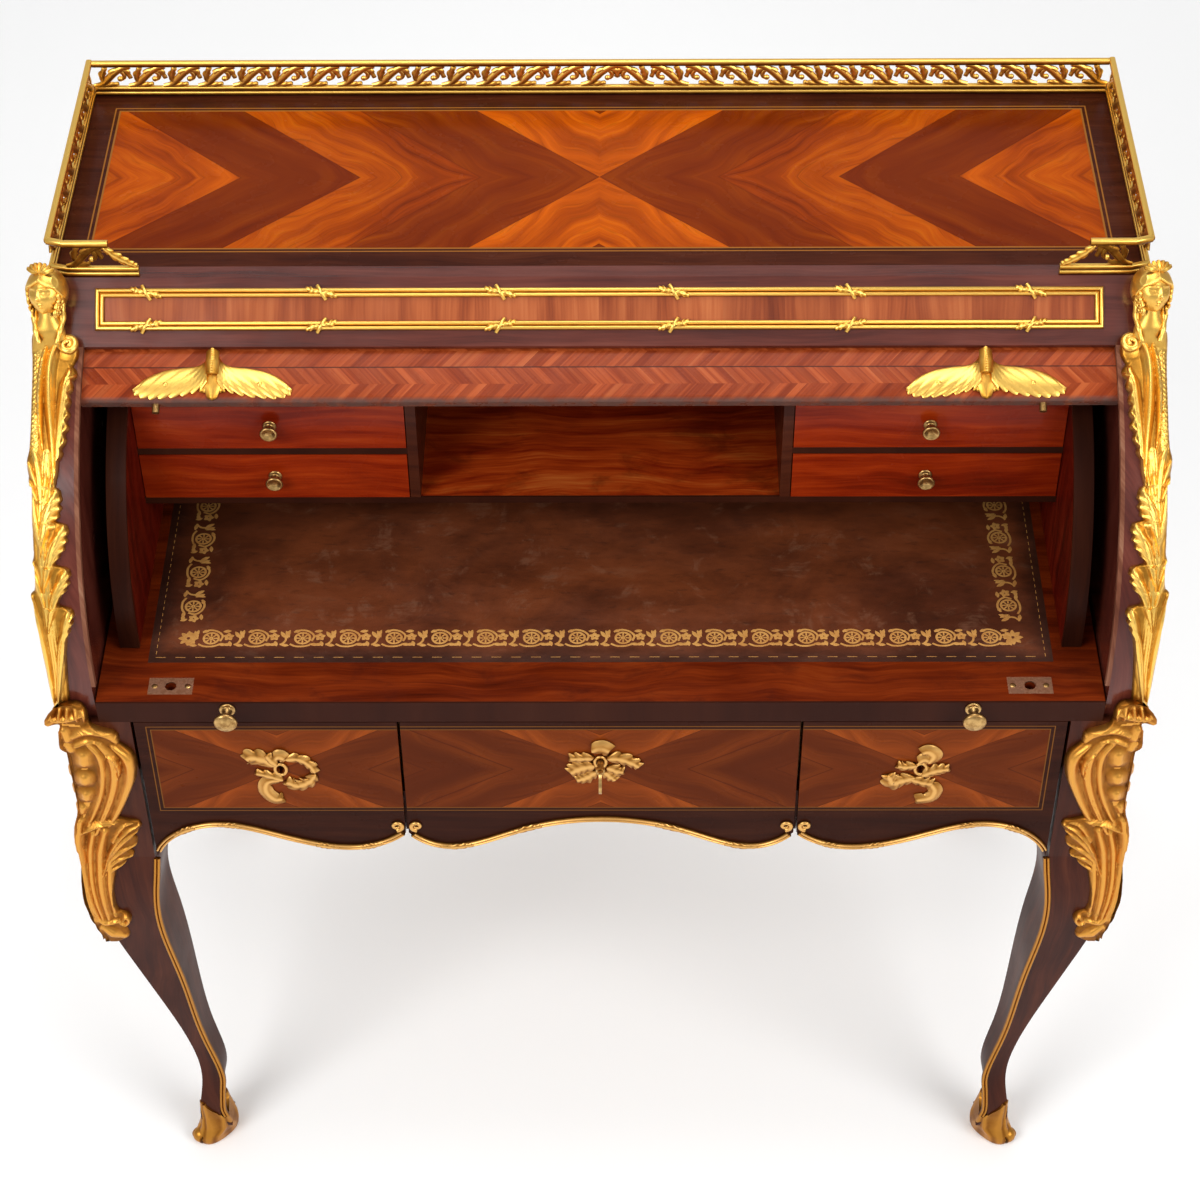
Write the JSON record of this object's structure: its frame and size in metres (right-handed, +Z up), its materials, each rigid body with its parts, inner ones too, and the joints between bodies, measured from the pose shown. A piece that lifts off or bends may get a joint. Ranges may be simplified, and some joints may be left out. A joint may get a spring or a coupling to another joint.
{
  "type": "cylinder desk",
  "caption": "Free-standing cylinder desk: a curved front rolls back over a nest of small drawers and a pull-out leather writing slide, above frieze drawers on cabriole legs.",
  "frame": {"origin": "on the floor, under the middle of the desk's box", "axes": "+X to the sitter's right, +Y to the back, +Z up"},
  "size_m": [1.068, 0.5812, 1.11],
  "materials": {
    "veneer_dark": "polished",
    "veneer_warm": "polished",
    "carcass_wood": "matt",
    "gilt_bronze": "burnished and matt gilding",
    "brass": "aged",
    "iron": "dull",
    "worn_bead": "worn",
    "leather": "worn, gold tooled"
  },
  "bodies": {
    "carcass": {"leg_front_right": "veneer_dark", "leg_front_left": "veneer_dark", "legs_rear": "veneer_dark", "sabots": "gilt_bronze", "leg_trims": "gilt_bronze", "side_rails": "veneer_dark", "back_rail": "veneer_dark", "dust_board": "carcass_wood", "drawer_partitions": "carcass_wood", "drawer_runners": "carcass_wood", "end_panels": "veneer_dark", "fascia": "veneer_dark", "fascia_frame": "gilt_bronze", "case_back": "carcass_wood", "top_board": "veneer_warm", "nest_sides": "veneer_dark", "nest_shelves": "veneer_dark", "nest_partitions": "veneer_dark", "nest_back": "carcass_wood", "nest_cleats": "carcass_wood", "cylinder_pivots": "iron", "cylinder_beads": "worn_bead", "gallery_back": "gilt_bronze", "gallery_right": "gilt_bronze", "gallery_left": "gilt_bronze", "knee_mounts": "gilt_bronze", "corner_figures": "gilt_bronze"},
    "cylinder": {"cylinder_shell": "veneer_warm", "cylinder_arms": "iron", "cylinder_handles": "gilt_bronze", "locating_pins": "iron"},
    "slide": {"writing_slide": "veneer_dark", "writing_leather": "leather", "strike_plates": "brass", "slide_knobs": "brass"},
    "drawer_left": {"drawer_front_left": "veneer_warm", "drawer_box_left": "carcass_wood", "drawer_mounts_left": "gilt_bronze", "lock_case_left": "brass"},
    "bolt_left": {"lock_bolt_left": "iron"},
    "drawer_center": {"drawer_front_center": "veneer_warm", "drawer_box_center": "carcass_wood", "drawer_mounts_center": "gilt_bronze", "lock_case_center": "brass"},
    "bolt_center": {"lock_bolt_center": "iron"},
    "drawer_right": {"drawer_front_right": "veneer_warm", "drawer_box_right": "carcass_wood", "drawer_mounts_right": "gilt_bronze", "lock_case_right": "brass"},
    "bolt_right": {"lock_bolt_right": "iron"},
    "key": {"drawer_key": "brass"},
    "nest_lower_left": {"nest_drawer_lower_left": "veneer_warm", "nest_knob_lower_left": "brass"},
    "nest_lower_right": {"nest_drawer_lower_right": "veneer_warm", "nest_knob_lower_right": "brass"},
    "nest_upper_left": {"nest_drawer_upper_left": "veneer_warm", "nest_knob_upper_left": "brass"},
    "nest_upper_right": {"nest_drawer_upper_right": "veneer_warm", "nest_knob_upper_right": "brass"}
  },
  "joints": [
    {"name": "cylinder_turn", "type": "hinge", "parent": "carcass", "child": "cylinder", "pos_m": [0, 0.03947, 0.757], "axis": [-1, 0, 0], "range_deg": [-62.2, 0]},
    {"name": "slide_pull", "type": "slide", "parent": "carcass", "child": "slide", "axis": [0, -1, 0], "range_m": [0, 0.2]},
    {"name": "drawer_left_pull", "type": "slide", "parent": "carcass", "child": "drawer_left", "axis": [0, -1, 0], "range_m": [0, 0.33]},
    {"name": "bolt_left_throw", "type": "slide", "parent": "drawer_left", "child": "bolt_left", "axis": [0, 0, 1], "range_m": [0, 0.009]},
    {"name": "drawer_center_pull", "type": "slide", "parent": "carcass", "child": "drawer_center", "axis": [0, -1, 0], "range_m": [0, 0.33]},
    {"name": "bolt_center_throw", "type": "slide", "parent": "drawer_center", "child": "bolt_center", "axis": [0, 0, 1], "range_m": [0, 0.009]},
    {"name": "drawer_right_pull", "type": "slide", "parent": "carcass", "child": "drawer_right", "axis": [0, -1, 0], "range_m": [0, 0.33]},
    {"name": "bolt_right_throw", "type": "slide", "parent": "drawer_right", "child": "bolt_right", "axis": [0, 0, 1], "range_m": [0, 0.009]},
    {"name": "key_turn", "type": "hinge", "parent": "drawer_center", "child": "key", "pos_m": [0, -0.25056, 0.657], "axis": [0, 1, 0], "range_deg": [0, 180]},
    {"name": "nest_lower_left_pull", "type": "slide", "parent": "carcass", "child": "nest_lower_left", "axis": [0, -1, 0], "range_m": [0, 0.15]},
    {"name": "nest_lower_right_pull", "type": "slide", "parent": "carcass", "child": "nest_lower_right", "axis": [0, -1, 0], "range_m": [0, 0.15]},
    {"name": "nest_upper_left_pull", "type": "slide", "parent": "carcass", "child": "nest_upper_left", "axis": [0, -1, 0], "range_m": [0, 0.15]},
    {"name": "nest_upper_right_pull", "type": "slide", "parent": "carcass", "child": "nest_upper_right", "axis": [0, -1, 0], "range_m": [0, 0.15]}
  ],
  "couplings": [
    {"joint": "key_turn", "follows": "bolt_center_throw", "rad_per_m": 345}
  ]
}
